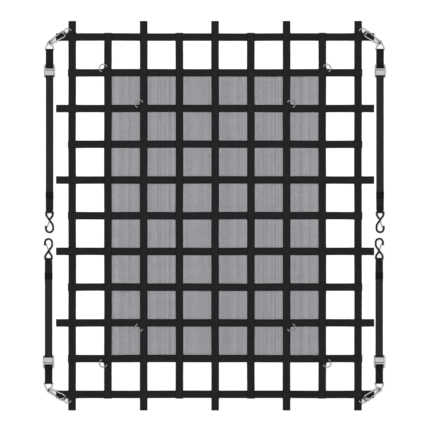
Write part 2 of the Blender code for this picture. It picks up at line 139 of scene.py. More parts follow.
def arcPoints(centre, radius, start, end, steps):  # in a plane, angles in degrees, both ends in
    turn = np.radians(np.linspace(start, end, steps + 1))
    return np.stack([centre[0] + radius * np.cos(turn), centre[1] + radius * np.sin(turn)], -1)


# A line through corners (x, y, radius): each corner is replaced by the arc of that radius which
# touches both its sides.
def filleted(corners, degreesPerStep):
    out = []
    for i, (x, y, radius) in enumerate(corners):
        here = np.array([x, y])
        if not radius:
            out.append(here)
            continue
        back = np.array(corners[i - 1][:2]) - here
        on = np.array(corners[(i + 1) % len(corners)][:2]) - here
        back, on = back / np.linalg.norm(back), on / np.linalg.norm(on)
        half = math.acos(np.clip(back @ on, -1, 1)) / 2
        middle = (back + on) / np.linalg.norm(back + on)
        centre = here + middle * radius / math.sin(half)
        first = here + back * radius / math.tan(half) - centre
        turn = (math.pi - 2 * half) * -math.copysign(1, back[0] * on[1] - back[1] * on[0])
        steps = max(2, round(abs(math.degrees(turn)) / degreesPerStep))
        for t in np.linspace(0, turn, steps + 1):
            c, s = math.cos(t), math.sin(t)
            out.append(centre + np.array([c * first[0] - s * first[1], s * first[0] + c * first[1]]))
    return np.array(out)


def flatLine(points, height=0):  # a line in a plane as points in space
    points = np.asarray(points, float)
    return np.column_stack([points, np.full(len(points), height)])


def wire(points, radius, sides, height=0, closed=False):  # a round bar along a line in a plane
    return swept(flatLine(points, height), (0, 0, 1), circle(radius, sides), closed)


# A line refilled so that no step is longer than the given one; its own points stay.
def refilled(points, step):
    points = np.asarray(points, float)
    out = [points[:1]]
    for a, b in zip(points[:-1], points[1:]):
        count = max(1, math.ceil(np.linalg.norm(b - a) / step))
        out.append(a + (b - a) * (np.arange(1, count + 1) / count)[:, None])
    return np.concatenate(out)


# Looks

# One output of a node, which can be written in sums: each operator adds one Math node.
class Link:
    def __init__(self, look, socket):
        self.look, self.socket = look, socket

    def maths(self, operation, *others):
        return self.look.node("Math", {"operation": operation}, dict(enumerate((self, *others))))

    def __add__(self, other):
        return self.maths("ADD", other)

    def __mul__(self, other):
        return self.maths("MULTIPLY", other)

    __radd__, __rmul__ = __add__, __mul__

    def blend(self, share, other):
        return self * share + other * (1 - share)

    def wave(self, length):  # a sine of that length, between 0 and 1
        return (self * (2 * math.pi / length)).maths("SINE") * 0.5 + 0.5


# The nodes of a material or of the world. A tone is a dictionary of what a look's user would change.
class Look:
    def __init__(self, owner):
        owner.use_nodes = True
        self.owner, self.tree = owner, owner.node_tree

    def node(self, kind, settings=None, inputs=None, output=0):
        made = self.tree.nodes.new("ShaderNode" + kind)
        for key, value in (settings or {}).items():
            setattr(made, key, value)
        self.connect(made, inputs or {})
        return Link(self, made.outputs[output])

    def connect(self, made, inputs):
        for key, value in inputs.items():
            if isinstance(value, Link):
                self.tree.links.new(value.socket, made.inputs[key])
            else:
                made.inputs[key].default_value = value

    def noise(self, scale, detail, stretch=(1, 1, 1)):
        place = self.node("TexCoord", output="Object")
        moved = self.node("Mapping", {}, {"Vector": place, "Scale": stretch})
        return self.node("TexNoise", {}, {"Vector": moved, "Scale": scale, "Detail": detail})

    def webPlace(self):  # from the UV map: metres across from the middle, and metres along
        uv = self.node("UVMap", {"uv_map": "UVMap"})
        across = self.node("SeparateXYZ", {}, {0: uv})
        return across, Link(self, across.socket.node.outputs["Y"])

    # From low to high while the value goes from start to end, in a straight line or an S.
    def rise(self, value, start, end, low=0.0, high=1.0, line="SMOOTHSTEP"):
        sockets = {0: value, 1: start, 2: end, 3: low, 4: high}
        return self.node("MapRange", {"interpolation_type": line}, sockets)

    def mix(self, factor, colourA, colourB):
        return self.node("Mix", {"data_type": "RGBA"}, {0: factor, 6: colourA, 7: colourB}, 2)

    def shade(self, pattern, tone):  # between the tone's two greys
        tint = tone.get("tint", (1, 1, 1))
        return self.mix(pattern, grey(tone["dark"], tint), grey(tone["light"], tint))

    def rough(self, pattern, tone):  # round the tone's roughness, by "roughBy" in all
        return pattern * tone["roughBy"] + (tone["rough"] - tone["roughBy"] / 2)

    def finished(self, tone, colour, roughness, relief=None, more=None):
        sockets = {"Base Color": colour, "Roughness": roughness, "Specular IOR Level": tone["gloss"]}
        if relief:
            bump = {"Height": relief, "Distance": tone["high"], "Strength": tone["depth"]}
            sockets["Normal"] = self.node("Bump", {}, bump)
        self.connect(self.tree.nodes["Principled BSDF"], {**sockets, **(more or {})})
        return self.owner


def newLook(name):
    return Look(bpy.data.materials.new(name))


def grey(value, tint=(1, 1, 1)):
    return (value * tint[0], value * tint[1], value * tint[2], 1)


webbingTones = {
    "net": {"dark": 0.0055, "light": 0.0155, "rough": 0.86},
    "strap": {"dark": 0.0095, "light": 0.0235, "rough": 0.82},
    "short": {"dark": 0.0035, "light": 0.0110, "rough": 0.84},
}
weaving = {
    "tint": (1, 1, 1.05), "roughBy": 0.14, "gloss": 0.10, "high": 0.00022, "depth": 0.9,
    "rib": 0.00152,  # from one warp rib to the next
    "pick": 0.0023,  # from one knuckle to the next along a rib
    "lean": 0.9,  # how far the knuckles lie on for each metre across
    "ribShare": 0.45, "weaveShare": 0.5, "wornScale": 26,
    "selvedge": (0.0142, 0.0188),  # across: the edges, darkened by painted shade where the crowned webbing turns from the light
    "paintedEdgeShade": 0.35, "paintedEdgeShare": 0.8,
    "end": (0.195, 0.207),  # along a corner strap: it is darker from its end up to here
    "endDark": 0.003, "endShare": 0.55,
}


# Woven webbing. Ribs are a sine across, knuckles a sine along that is shifted a little more on each
# rib, and the other way past the middle.
def webbingLook(name, kind):
    look, t = newLook(name), {**weaving, **webbingTones[kind]}
    u, v = look.webPlace()
    across = u.maths("ABSOLUTE")
    weave = u.wave(t["rib"]).blend(t["ribShare"], (v + across * t["lean"]).wave(t["pick"]))
    edge = look.rise(across, *t["selvedge"])
    worn = look.noise(t["wornScale"], 3)
    colour = look.shade(weave.blend(t["weaveShare"], worn), t)
    # painted shade on the edges, where the crowned webbing turns away from the light and its sheen falls off
    colour = look.mix(edge * t["paintedEdgeShare"], colour, grey(t["dark"] * t["paintedEdgeShade"], t["tint"]))
    if kind == "strap":
        end = look.rise(v, *t["end"], line="LINEAR")
        colour = look.mix(end, look.mix(t["endShare"], colour, grey(t["endDark"])), colour)
    return look.finished(t, colour, look.rough(worn, t), weave)


metalTones = {
    "zinc": {"dark": 0.22, "light": 0.44, "tint": (0.99, 1, 1), "rough": 0.16, "grain": 190, "rim": 0.4},
    "frame": {"dark": 0.24, "light": 0.42, "tint": (0.98, 1, 1), "rough": 0.24, "grain": 160, "rim": 0.5},
    "lever": {"dark": 0.26, "light": 0.43, "tint": (0.96, 1, 0.99), "rough": 0.24, "grain": 120, "rim": 0.7},
    "spring": {"dark": 0.12, "light": 0.2, "tint": (1, 1, 1), "rough": 0.24, "grain": 300, "rim": 0.4},
}
plating = {
    "roughBy": 0.12, "gloss": 0.5, "high": 0.00004, "depth": 0.5, "grainShare": 0.6, "paintedSideShade": 0.22,
    "handledScale": 38, "handledRough": 0.2,  # added by handling, at most
    "upward": (0.35, 0.92),  # where the upward attribute goes from a side in full painted shade to a top without it
}


# Plated steel: fine mottling of the plate, slow changes of gloss where it was handled, and painted shade on
# the sides, where the part's own upward attribute is small: the base colour is darkened there in place of the
# dark reflections that the sides would show.
def metalLook(name, kind):
    look, t = newLook(name), {**plating, **metalTones[kind]}
    grain, slow = look.noise(t["grain"], 4), look.noise(t["handledScale"], 2)
    colour = look.shade(grain.blend(t["grainShare"], slow), t)
    upward = look.node("Attribute", {"attribute_name": "upward"}, output="Fac")
    top = look.rise(upward, *t["upward"])
    # painted shade: the sides are darkened in the base colour, so that the wires show dark outlines from
    # above
    colour = look.mix(top, grey(t["dark"] * t["paintedSideShade"], t["tint"]), colour)
    roughness = slow * t["handledRough"] + look.rough(grain, t)
    return look.finished(t, colour, roughness, grain, {"Metallic": 1.0, "Specular Tint": grey(t["rim"])})


vinyl = {
    "dark": 0.0021, "light": 0.0039, "rough": 0.42, "roughBy": 0.16, "gloss": 0.12,
    "high": 0.00008, "depth": 0.5, "peelScale": 420, "slowScale": 60,
}


def vinylLook(name):  # dipped vinyl: smooth, with the faint orange peel of the dip
    look, t = newLook(name), vinyl
    peel, slow = look.noise(t["peelScale"], 1), look.noise(t["slowScale"], 2)
    return look.finished(t, look.shade(slow, t), look.rough(slow, t), peel)


coatedThread = {
    "dark": 0.030, "light": 0.110, "tint": (1, 1.02, 1.35), "rough": 0.6, "roughBy": 0.2, "gloss": 0.3,
    "high": 0.0001, "depth": 0.4, "fineScale": 240,
    "streak": (150, 3, 1), "streakShare": 0.75,  # close together across the cloth and long along it
}


def meshLook(name):  # vinyl-coated threads; slow streaks run along the cloth as it came off the loom
    look, t = newLook(name), coatedThread
    streak, fine = look.noise(1, 3, t["streak"]), look.noise(t["fineScale"], 2)
    return look.finished(t, look.shade(streak.blend(t["streakShare"], fine), t), look.rough(fine, t), fine)


sewingThread = {"dark": 0.012, "light": 0.040, "rough": 0.55, "roughBy": 0.2, "gloss": 0.3, "scale": 900}


def threadLook(name):
    look, t = newLook(name), sewingThread
    fine = look.noise(t["scale"], 2)
    return look.finished(t, look.shade(fine, t), look.rough(fine, t))


elasticBand = {
    "dark": 0.003, "light": 0.009, "rough": 0.8, "roughBy": 0.2, "gloss": 0.05, "high": 0.0002,
    "depth": 0.9, "cord": 0.0016, "cordShare": 0.6, "wornScale": 80,
}


def bandLook(name):  # ribbed elastic: fine cords across the strap
    look, t = newLook(name), elasticBand
    cord, worn = look.webPlace()[0].wave(t["cord"]), look.noise(t["wornScale"], 2)
    return look.finished(t, look.shade(cord.blend(t["cordShare"], worn), t), look.rough(worn, t), cord)


netWeb, strapWeb = webbingLook("net_webbing", "net"), webbingLook("strap_webbing", "strap")
shortWeb = webbingLook("short_strap_webbing", "short")
zinc, frameMetal = metalLook("zinc_plate", "zinc"), metalLook("frame_plate", "frame")
springSteel, leverPlate = metalLook("spring_steel", "spring"), metalLook("lever_plate", "lever")
blackVinyl, meshCloth = vinylLook("black_vinyl"), meshLook("mesh_cloth")
thread, elastic = threadLook("thread"), bandLook("elastic_band")
print("the looks are made")


# Webbing

net = {
    "pitch": 0.180, "columns": 9, "rows": 11, "middleX": 0.004,
    "wide": 0.038, "thick": 0.0015, "gap": 0.0003,
    "sunk": 0.0001,  # sewn layers at the corners sink this far into each other
    "clear": 0.002,  # a strap stays level this far past one that it crosses
    "slope": 0.012, "step": 0.012,  # of a step up or down, and between points
    "loop": 0.0625, "wrap": 0.0027, "turnBack": 0.036,
    "sag": 0.0011,  # between crossings, onto the mesh
    "stray": ((0.0004, 5.1, 40), (0.0003, 13.7, -25)),  # sideways, in two slow sines
    "meshReach": 0.015, "meshThick": 0.001,
}
halfX, halfY = net["pitch"] * (net["columns"] - 1) / 2, net["pitch"] * (net["rows"] - 1) / 2
layer, web, halfWeb = net["thick"] + net["gap"], net["thick"], net["thick"] / 2
onFloor = halfWeb  # height of the middle of a strap on the floor
levelOut = net["wide"] / 2 + net["clear"]

# Heights of undersides in the stack, from the floor up.
onMesh = net["meshThick"] + net["gap"]
onRows = onMesh + layer
cornerOver = layer + web - net["sunk"]
cornerTop = cornerOver + layer
tabTops = {"corner": cornerTop + web, "outer": onRows + web, "inner": onRows + web}


def columnX(number):  # the middle line of a lengthwise strap, from the left
    return net["middleX"] + (number - (net["columns"] - 1) / 2) * net["pitch"]


def rowY(number):  # and of a crosswise one, from the top
    return ((net["rows"] - 1) / 2 - number) * net["pitch"]


# Heights between keys (along, height) change as 3t^2 - 2t^3, so a strap steps up or down in an S.
def eased(keys, step=net["step"]):
    out = [np.array([keys[0]])]
    for (s0, z0), (s1, z1) in zip(keys[:-1], keys[1:]):
        fewest = 1 if z0 == z1 else 6
        count = max(fewest, math.ceil(abs(s1 - s0) / step))
        t = np.arange(1, count + 1) / count
        out.append(np.column_stack([s0 + (s1 - s0) * t, z0 + (z1 - z0) * t * t * (3 - 2 * t)]))
    return np.concatenate(out)


# The half circle in which webbing turns back at its tip, from one height to the other.
def turned(tip, start, end, steps=8):
    radius, rise = abs(end - start) / 2, 1 if end > start else -1
    return arcPoints((tip - radius - halfWeb, (start + end) / 2), radius, -90 * rise, 90 * rise, steps)


# Webbing's section: flat, with its height falling to nothing over the last of the width as the
# square root of 1 - across^10. The second result is each point's place across, for the weave.
def webSection(wide):
    a = np.array([-1, -0.985, -0.94, -0.8, -0.4, 0, 0.4, 0.8, 0.94, 0.985, 1])
    height = halfWeb * np.sqrt(1 - np.abs(a) ** 10)
    top = np.column_stack([a * wide / 2, height])
    under = np.column_stack([a[-2:0:-1] * wide / 2, -height[-2:0:-1]])
    section = np.concatenate([top, under])
    return section, section[:, 0]


# A strap from its (along, height) line, and how it lies: along Y at x, or along X at y.
def strapShape(line, lengthwise, place):
    section, across = webSection(net["wide"])
    s, z = line[:, 0], line[:, 1]
    beside = place + sum(far * np.sin(s * along + place * shift) for far, along, shift in net["stray"])
    if lengthwise:
        points, side = np.column_stack([beside, s, z]), (-1, 0, 0)
    else:
        points, side = np.column_stack([net["middleX"] + s, beside, z]), (0, 1, 0)
    return swept(points, side, section, uvAcross=across)


# Half of a lengthwise strap: it sags between the crossings, steps up over the last strap, and turns
# back under itself.
def lengthwiseHalf(looped, crossings, over, level):
    keys = [(0, level)]
    for place in crossings:
        keys.append((place + levelOut, level))
        if place != crossings[-1]:
            keys += [(place + net["pitch"] / 2, level - net["sag"]), (place + net["pitch"] - levelOut, level)]
    if not crossings:
        keys.append((halfY - levelOut - net["slope"], level))
    keys.append((halfY - levelOut, over))
    if looped:
        keys += [(halfY + levelOut, over), (halfY + levelOut + net["slope"], onFloor + layer)]
    tip = halfY + net["wide"] / 2 + net["loop" if looped else "wrap"]
    fold = turned(tip, onFloor + layer if looped else over, onFloor)
    back = eased([tuple(fold[-1]), (halfY - net["wide"] / 2 - net["turnBack"], onFloor)])
    return np.concatenate([eased([*keys, tuple(fold[0])]), fold[1:], back[1:]])


# Half of a crosswise strap: under the lengthwise border strap and back over it.
def crosswiseHalf(looped, run, under, over):
    keys, back = list(run), []
    out, steppedOut = halfX + levelOut, halfX + levelOut + net["slope"]
    if looped:
        keys += [(out, under)] + [(steppedOut, onFloor)] * (under > onFloor)
        back = [(steppedOut, onFloor + layer), (out, over)]
    tip = halfX + net["wide"] / 2 + net["loop" if looped else "wrap"]
    fold = turned(tip, *((onFloor, onFloor + layer) if looped else (under, over)))
    back += [(halfX - levelOut, over), (halfX - levelOut - net["slope"], under + layer),
             (halfX - net["wide"] / 2 - net["turnBack"], under + layer)]
    back = eased([tuple(fold[-1]), *back])
    return np.concatenate([eased([*keys, tuple(fold[0])]), fold[1:], back[1:]])


# A whole line: half of it, from the net's middle outwards, and that half mirrored.
def strapLine(lengthwise, number, border):
    looped = number % 2 == 0
    if lengthwise:
        crossings = [] if border else [net["pitch"] * k for k in range(net["rows"] // 2)]
        over, level = (cornerOver, layer) if border else (2 * layer, onRows)
        half = lengthwiseHalf(looped, crossings, over + halfWeb, level + halfWeb)
    elif border:
        half = crosswiseHalf(looped, [(0, layer + halfWeb)], layer + halfWeb, cornerTop + halfWeb)
    else:
        meshEdge = halfX - net["pitch"] + levelOut
        run = [(0, onMesh + halfWeb), (meshEdge, onMesh + halfWeb), (meshEdge + 3 * net["slope"], onFloor)]
        half = crosswiseHalf(looped, run, onFloor, 2 * layer + halfWeb)
    return np.concatenate([(half[::-1] * np.array([-1, 1]))[:-1], half])


def makeStraps():
    for kind, count, place in (("column", net["columns"], columnX), ("row", net["rows"], rowY)):
        for number in range(count):
            border = number in (0, count - 1)
            line = strapLine(kind == "column", number, border)
            shape = strapShape(line, kind == "column", place(number))
            node = "border" if border else f"{kind}_{number}"
            piece = addPiece(f"strap_{kind}_{number}", shape, netWeb, nodes=[node])
    print(net["columns"] + net["rows"], "straps laid and sewn into a grid")


meshPanel = {
    "thick": 0.00052,  # "low" is how many of these a thread lies under the top
    "warp": {"pitch": 0.0024, "wide": 0.00114, "uneven": 0.15, "low": 1.0},
    "weft": {"pitch": 0.0031, "wide": 0.00110, "uneven": 0.07, "low": 1.35},
}


# Straight threads side by side: each is a box with a six-cornered section, so all the points are
# one array of (thread, end, corner).
def threads(kind, reach, half, lengthwise):
    places = np.arange(-reach, reach, kind["pitch"]) + kind["pitch"] / 2
    height = net["meshThick"] - meshPanel["thick"] * kind["low"]
    corner = np.array([(-0.5, 0), (-0.3, 0.5), (0.3, 0.5), (0.5, 0), (0.3, -0.5), (-0.3, -0.5)])
    spread = np.random.default_rng(11).standard_normal(len(places)).clip(-2, 2)
    wide = kind["wide"] * (1 + kind["uneven"] * spread)
    across, along, up = np.broadcast_arrays(
        places[:, None, None] + corner[:, 0] * wide[:, None, None], np.array([[-half], [half]]),
        height + corner[:, 1] * meshPanel["thick"],
    )
    points = np.stack([across, along, up] if lengthwise else [along, across, up], -1)
    points = points + np.array([net["middleX"], 0, 0])
    k = np.arange(6)
    side = np.stack([k, (k + 1) % 6, (k + 1) % 6 + 6, k + 6], -1)
    base = np.arange(len(places)) * 12
    sides = (side[None] + base[:, None, None]).reshape(-1, 4).tolist()
    caps = [(end + b).tolist() for b in base for end in (k, k + 6)]
    return {"points": points.reshape(-1, 3), "faces": sides + caps}


def makeMesh():
    wide = halfX - net["pitch"] + net["meshReach"]
    long = halfY - net["pitch"] + net["meshReach"]
    warps = threads(meshPanel["warp"], wide, long, True)
    cloth = joined([warps, threads(meshPanel["weft"], long, wide, False)])
    panel = addPiece("mesh_panel", cloth, meshCloth, nodes=["mesh"])
    print("the mesh panel is", round(2 * wide, 3), "by", round(2 * long, 3), "m")


makeMesh()
makeStraps()


# Sewing

stitch = {"long": 0.0033, "pitch": 0.0040, "wide": 0.0009, "high": 0.0006}
sewing = {
    "crossing": 0.0145, "tab": 0.012,  # half a box on a crossing, and on a tab
    "end": (0.003, 0.032), "endWide": 0.0145,  # on a turned-back end
    "lift": 0.0001, "endLift": 0.0003,  # of the thread's middle, over the webbing
    "ringsIn": 2,  # diagonal crossings up to this many straps in have a ring's tab
}


# Stitches at (x, y, z) places, turned by their angles: a stretched eight-faced bead for each one.
def stitches(places, angles):
    bead = np.array([(-0.5, 0, 0), (0.5, 0, 0), (0, -0.5, 0), (0, 0.5, 0), (0, 0, 0.5), (0, 0, -0.5)])
    bead = bead * np.array([stitch["long"], stitch["wide"], stitch["high"]])
    c, s = np.cos(angles)[:, None], np.sin(angles)[:, None]
    x = places[:, None, 0] + bead[:, 0] * c - bead[:, 1] * s
    y = places[:, None, 1] + bead[:, 0] * s + bead[:, 1] * c
    z = places[:, None, 2] + bead[:, 2] + np.zeros_like(x)
    around = [(0, 2), (2, 1), (1, 3), (3, 0)]
    face = np.array([(a, b, 4) for a, b in around] + [(b, a, 5) for a, b in around])
    faces = (face[None] + (np.arange(len(places)) * 6)[:, None, None]).reshape(-1, 3)
    return {"points": np.stack([x, y, z], -1).reshape(-1, 3), "faces": faces.tolist()}


def seam(a, b):  # the middles and the angle of the stitches along a straight seam
    a, b = np.array(a, float), np.array(b, float)
    count = max(2, round(float(np.linalg.norm(b - a)) / stitch["pitch"]))
    t = (np.arange(count) + 0.5) / count
    return a + (b - a) * t[:, None], np.full(count, math.atan2(b[1] - a[1], b[0] - a[0]))


def boxSeams(halfWide, halfLong):  # a box with a cross in it
    c = [(-halfWide, -halfLong), (halfWide, -halfLong), (halfWide, halfLong), (-halfWide, halfLong)]
    runs = [(c[0], c[1]), (c[1], c[2]), (c[2], c[3]), (c[3], c[0]), (c[0], c[2]), (c[1], c[3])]
    parts = [seam(a, b) for a, b in runs]
    return np.concatenate([p for p, _ in parts]), np.concatenate([a for _, a in parts])


def sewn(seams, x, y, z, turn=0.0):  # the stitches of some seams, laid at a place
    points, angles = seams
    c, s = math.cos(turn), math.sin(turn)
    acrossX = x + points[:, 0] * c - points[:, 1] * s
    alongY = y + points[:, 0] * s + points[:, 1] * c
    return stitches(np.column_stack([acrossX, alongY, np.full(len(points), z)]), angles + turn)


def makeSewing():
    lastColumn, lastRow = net["columns"] - 1, net["rows"] - 1
    box, parts = boxSeams(sewing["crossing"], sewing["crossing"]), []
    for i in range(net["columns"]):
        for j in range(net["rows"]):
            if min(i, lastColumn - i) == min(j, lastRow - j) <= sewing["ringsIn"]:
                continue  # a ring's tab covers it
            top = 2 * layer if i in (0, lastColumn) or j in (0, lastRow) else onRows
            parts.append(sewn(box, columnX(i), rowY(j), top + web + sewing["lift"]))
    # the turned-back ends, one patch just inside the border
    first, last = sewing["end"]
    ends = boxSeams(sewing["endWide"], (last - first) / 2)
    middle = levelOut + (first + last) / 2
    for side in (-1, 1):
        for i in range(net["columns"]):
            level = layer if i in (0, lastColumn) else onRows
            parts.append(sewn(ends, columnX(i), side * (halfY - middle), level + web + sewing["endLift"]))
        for j in range(net["rows"]):
            level = 2 * layer if j in (0, lastRow) else layer
            x = net["middleX"] + side * (halfX - middle)
            parts.append(sewn(ends, x, rowY(j), level + web + sewing["lift"], math.pi / 2))
    addPiece("sewing_net", joined(parts), thread)
    print("the crossings and the turned-back ends are sewn")


makeSewing()


# D-rings and their tabs

# Each corner is laid out as at the upper right, from where the border's middle lines cross, and
# mirrored to its side: where the strap, the delta ring's bar and, along the strap, the S-hook's bar
# lie, the carabiner's place and turns, and by how many degrees the two rings stand up.
corners = {
    "upper_left": {
        "side": (-1, 1), "strap": 0.114, "deltaBar": -0.0635, "hook": 0.7413, "ringUp": 17.18,
        "carabiner": (0.04936, 0.00999, 0.01491), "turn": (-28.95, -1.46, -33.85), "deltaUp": 20.06,
    },
    "upper_right": {
        "side": (1, 1), "strap": 0.111, "deltaBar": -0.0633, "hook": 0.7413, "ringUp": 14.65,
        "carabiner": (0.04732, 0.01096, 0.01502), "turn": (-28.70, -0.57, -34.97), "deltaUp": 18.71,
    },
    "lower_left": {
        "side": (-1, -1), "strap": 0.119, "deltaBar": -0.0561, "hook": 0.548, "ringUp": 16.48,
        "carabiner": (0.05130, 0.01192, 0.01412), "turn": (-27.69, -1.75, -29.40), "deltaUp": 20.08,
    },
    "lower_right": {
        "side": (1, -1), "strap": 0.107, "deltaBar": -0.0572, "hook": 0.548, "ringUp": 14.1,
        "carabiner": (0.04587, 0.01456, 0.01486), "turn": (-27.8, 1.28, -35.7), "deltaUp": 15.89,
    },
}
dRing = {
    "bar": 0.027, "depth": 0.026, "half": 0.02025, "corner": 0.003, "wire": 0.00225, "wireSides": 14,
    "droop": -4.5,  # degrees, of a ring with nothing on it
    "in": {"corner": 0, "outer": 1, "inner": 2},  # straps in from the border
    "tabWide": 0.032, "tabEnd": 0.026, "tabTurn": (-90, 118),  # its way round the bar, in degrees
    "tabUnder": 0.002, "tabNeck": 0.011,  # back from the bar, in its two layers
    "sewnAt": -0.008,
}


def fromCorner(side, strapsIn=0):  # carries a layout at the upper right into one of the corners
    x = net["middleX"] + side[0] * (halfX - net["pitch"] * strapsIn)
    y = side[1] * (halfY - net["pitch"] * strapsIn)
    return Matrix(((side[0], 0, 0, x), (0, side[1], 0, y), (0, 0, 1, 0), (0, 0, 0, 1)))


def degrees(angle, axis):
    return Matrix.Rotation(math.radians(angle), 4, axis)


# A D: a straight bar with tight corners, then half an ellipse.
def ringLine():
    half, corner, bow = dRing["half"], dRing["corner"], dRing["depth"] - dRing["corner"]
    near = arcPoints((corner, half - corner), corner, 180, 90, 6)
    bowLine = arcPoints((0, 0), 1, 90, -90, 40)[1:-1] * np.array([bow, half]) + np.array([corner, 0])
    return np.concatenate([near, bowLine, near[::-1] * np.array([1, -1])])


# Round a bar between two angles, at the middle of the webbing's thickness.
def roundBar(centre, bar, turn, steps):
    return arcPoints(centre, bar + net["gap"] + halfWeb, *turn, steps)


def ribbon(line, section, across):  # webbing along an (along, height) line
    points = np.column_stack([line[:, 0], np.zeros(len(line)), line[:, 1]])
    return swept(points, (0, 1, 0), section, uvAcross=across)


def tabLine(top, high):  # out on the crossing, round the ring's bar, and back over itself
    d = dRing
    low, second = top + halfWeb, top + halfWeb + web
    return np.concatenate([
        eased([(-d["tabEnd"], low), (d["bar"] - d["tabUnder"], low)]),
        roundBar((d["bar"], high), d["wire"], d["tabTurn"], 12),
        eased([(d["bar"] - d["tabNeck"], second), (-d["tabEnd"], second)]),
    ])


def makeRings():
    ring = wire(ringLine(), dRing["wire"], dRing["wireSides"], closed=True)
    section, across = webSection(dRing["tabWide"])
    box, seams = boxSeams(sewing["tab"], sewing["tab"]), []
    for kind, strapsIn in dRing["in"].items():
        top = tabTops[kind]
        high = top + dRing["wire"] + net["gap"] + web
        line = tabLine(top, high)
        tab = ribbon(line, section, across)
        for name, corner in corners.items():
            diagonal = fromCorner(corner["side"], strapsIn) @ degrees(45, "Z")
            up = corner["ringUp"] if kind == "corner" else dRing["droop"]
            shape = placed(ring, diagonal @ Matrix.Translation((dRing["bar"], 0, high)) @ degrees(-up, "Y"))
            addPiece(f"d_ring_{kind}_{name}", shape, zinc, nodes=[f"ring_{kind}_{name}"])
            piece = addPiece(f"tab_{kind}_{name}", placed(tab, diagonal), netWeb)
            seams.append(placed(sewn(box, dRing["sewnAt"], 0, top + 2 * web + sewing["lift"]), diagonal))
    addPiece("sewing_tabs", joined(seams), thread)
    print("the D-rings are on their tabs")


makeRings()


# Carabiners and delta rings

carabiner = {
    "wide": 0.0175, "narrow": 0.0085, "span": 0.068, "wire": 0.0035, "nose": 0.007, "pivot": 0.006,
    "tongue": 0.0012, "gateGap": 0.0004, "sides": 16,
    "noseEnd": ((0, 0.86), (0.0003, 0.96), (0.0012, 1), (0.004, 1)),  # back from its end, share of the wire
    "tail": (  # past the narrow end, half width in the plane, half thickness: flattened into a tongue
        (0.0010, 0.0035, 0.0035), (0.0018, 0.0035, 0.00315), (0.0021, 0.0035, 0.00132),
        (0.0030, 0.0035, 0.0012), (0.0060, 0.0034, 0.0012), (0.0076, 0.0031, 0.0012),
        (0.0086, 0.0025, 0.0012), (0.0094, 0.0013, 0.0012),
    ),
    "gateRoot": ((0.0045, 0.0028), (0.0052, 0.0033), (0.008, 0.0034)),  # out from its pivot, radius
    "gateTip": ((0.004, 0.0033), (0.0010, 0.0032), (0.0002, 0.0029), (0, 0.0025)),  # back from its tip
    "ear": (  # out from the pivot, radius: the gate's two ears straddle the tongue
        (-0.0033, 0.0017), (-0.0030, 0.0023), (-0.0022, 0.0029), (-0.0008, 0.0034), (0, 0.0034),
        (0.003, 0.0034), (0.0056, 0.0034),
    ),
    "rivet": ((0, 0.0011), (0.0034, 0.0011), (0.0036, 0.0017), (0.0040, 0.0014), (0.0042, 0.0005)),
}
delta = {
    "wire": 0.002, "half": 0.0235, "bend": 0.0025, "high": 0.0515, "tip": 0.005,
    "step": 0.008, "wireSides": 14,
}
deltaBarHigh = web + net["gap"] + delta["wire"]


# The gate's side: where it leaves the wide end and meets the narrow one, the direction back to the
# wide end, and how many degrees from the long axis the arcs of the ends start.
def gateSide():
    c = carabiner
    lean = math.asin((c["wide"] - c["narrow"]) / c["span"])
    out = np.array([math.sin(lean), math.cos(lean)])
    wide, narrow = out * c["wide"], np.array([c["span"], 0]) + out * c["narrow"]
    return wide, narrow, (wide - narrow) / np.linalg.norm(wide - narrow), 90 - math.degrees(lean)


# Sections of a flattened wire: an ellipse for each (in the plane, across it) pair, squared a little
# where it is flat.
def ellipses(pairs, count):
    turn = np.arange(count) * 2 * math.pi / count
    pairs = np.asarray(pairs, float)
    c, s = np.cos(turn)[None], np.sin(turn)[None]
    flat = (1 - pairs[:, 1] / pairs[:, 0])[:, None]
    squared = np.sign(s) * np.abs(s) ** (1 - 0.6 * flat)
    return np.stack([squared * pairs[:, 1:], c * pairs[:, :1]], -1)


def carabinerShape():  # nose, wide end, straight side, narrow end and tongue, as one wire
    c = carabiner
    wide, narrow, back, angle = gateSide()
    noseEnd = [wide - back * (c["nose"] - past) for past, _ in c["noseEnd"]]
    wideEnd = arcPoints((0, 0), c["wide"], angle, 360 - angle, 30)
    narrowEnd = arcPoints((c["span"], 0), c["narrow"], -angle, angle, 20)
    straight = refilled(np.array([wideEnd[-1], narrowEnd[0]]), 0.006)[1:-1]
    between = [*wideEnd, *straight, *narrowEnd]
    line = noseEnd + between + [narrow + back * past for past, _, _ in c["tail"]]
    radii = [(c["wire"] * share,) * 2 for _, share in c["noseEnd"]]
    radii += [(c["wire"],) * 2] * len(between) + [(inPlane, acrossIt) for _, inPlane, acrossIt in c["tail"]]
    return swept(flatLine(line), (0, 0, 1), ellipses(radii, c["sides"]))


# One of the gate's ears: each section is a circle cut off flat where it faces the tongue.
def earShape(pivot, back, way):
    c = carabiner
    places, radii = np.transpose(c["ear"])
    start = np.arcsin((c["tongue"] + net["gap"]) / radii)[:, None]
    turn = start + (math.pi - 2 * start) * np.linspace(0, 1, 11)
    section = np.stack([np.sin(turn) * radii[:, None] * way, np.cos(turn) * radii[:, None]], -1)
    return swept(flatLine(pivot + back * places[:, None]), (0, 0, 1), section)


def gateShape():  # a round bar with two ears and a rivet through them
    c = carabiner
    wide, narrow, back, _ = gateSide()
    pivot = narrow + back * c["pivot"]
    length = np.linalg.norm(wide - narrow) - c["nose"] - c["pivot"] - c["gateGap"]
    profile = np.array([*c["gateRoot"], *((length - short, radius) for short, radius in c["gateTip"])])
    bar = wire(pivot + back * profile[:, :1], profile[:, 1], c["sides"])
    ears, rivet = [], []
    heights, radii = np.transpose(c["rivet"])
    for way in (-1, 1):
        ears.append(earShape(pivot, back, way))
        rivetLine = np.column_stack([np.tile(pivot, (len(heights), 1)), heights * way])
        rivet.append(swept(rivetLine, (1, 0, 0), circle(radii, 12)))
    return joined([bar, *ears, *rivet])


